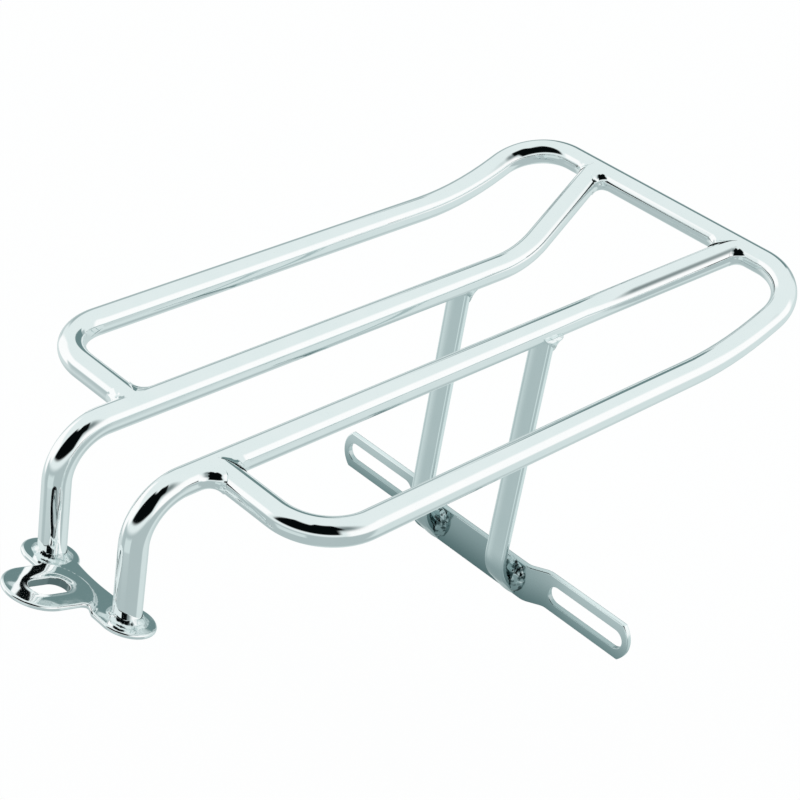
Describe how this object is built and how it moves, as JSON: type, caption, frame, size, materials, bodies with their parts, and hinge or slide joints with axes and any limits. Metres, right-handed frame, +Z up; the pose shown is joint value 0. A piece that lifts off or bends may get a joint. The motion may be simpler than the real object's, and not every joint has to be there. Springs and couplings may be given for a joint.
{
  "type": "motorcycle luggage rack",
  "caption": "Chromed tubular luggage rack for a solo motorcycle seat: raised rear loop, long rails, a slotted front plate and a slotted strap on struts.",
  "frame": {"origin": "midway between the two slots of the rear strap, on the front face of its slotted ends", "axes": "+X across the rack, +Y to the rear along the rails, +Z up, square to the flat part of the platform"},
  "size_m": [0.21, 0.4058, 0.1879],
  "materials": {
    "tube": "bright chrome plate on bent steel tube",
    "plate": "bright chrome plate on pressed steel plate",
    "bar": "chrome plate on flat steel bar, a little less polished than the tube",
    "weld": "chrome plate over the weld bead"
  },
  "bodies": {
    "root": {"outer_loop": "tube", "left_rail": "tube", "right_rail": "tube", "front_plate": "plate", "left_strut": "bar", "right_strut": "bar", "rear_strap": "bar", "weld_front_left": "weld", "weld_front_right": "weld", "weld_rear_left": "weld", "weld_rear_right": "weld", "weld_foot_left": "weld", "weld_foot_right": "weld", "weld_strut_left": "weld", "weld_strut_right": "weld", "weld_strap_left": "weld", "weld_strap_right": "weld"}
  },
  "joints": []
}
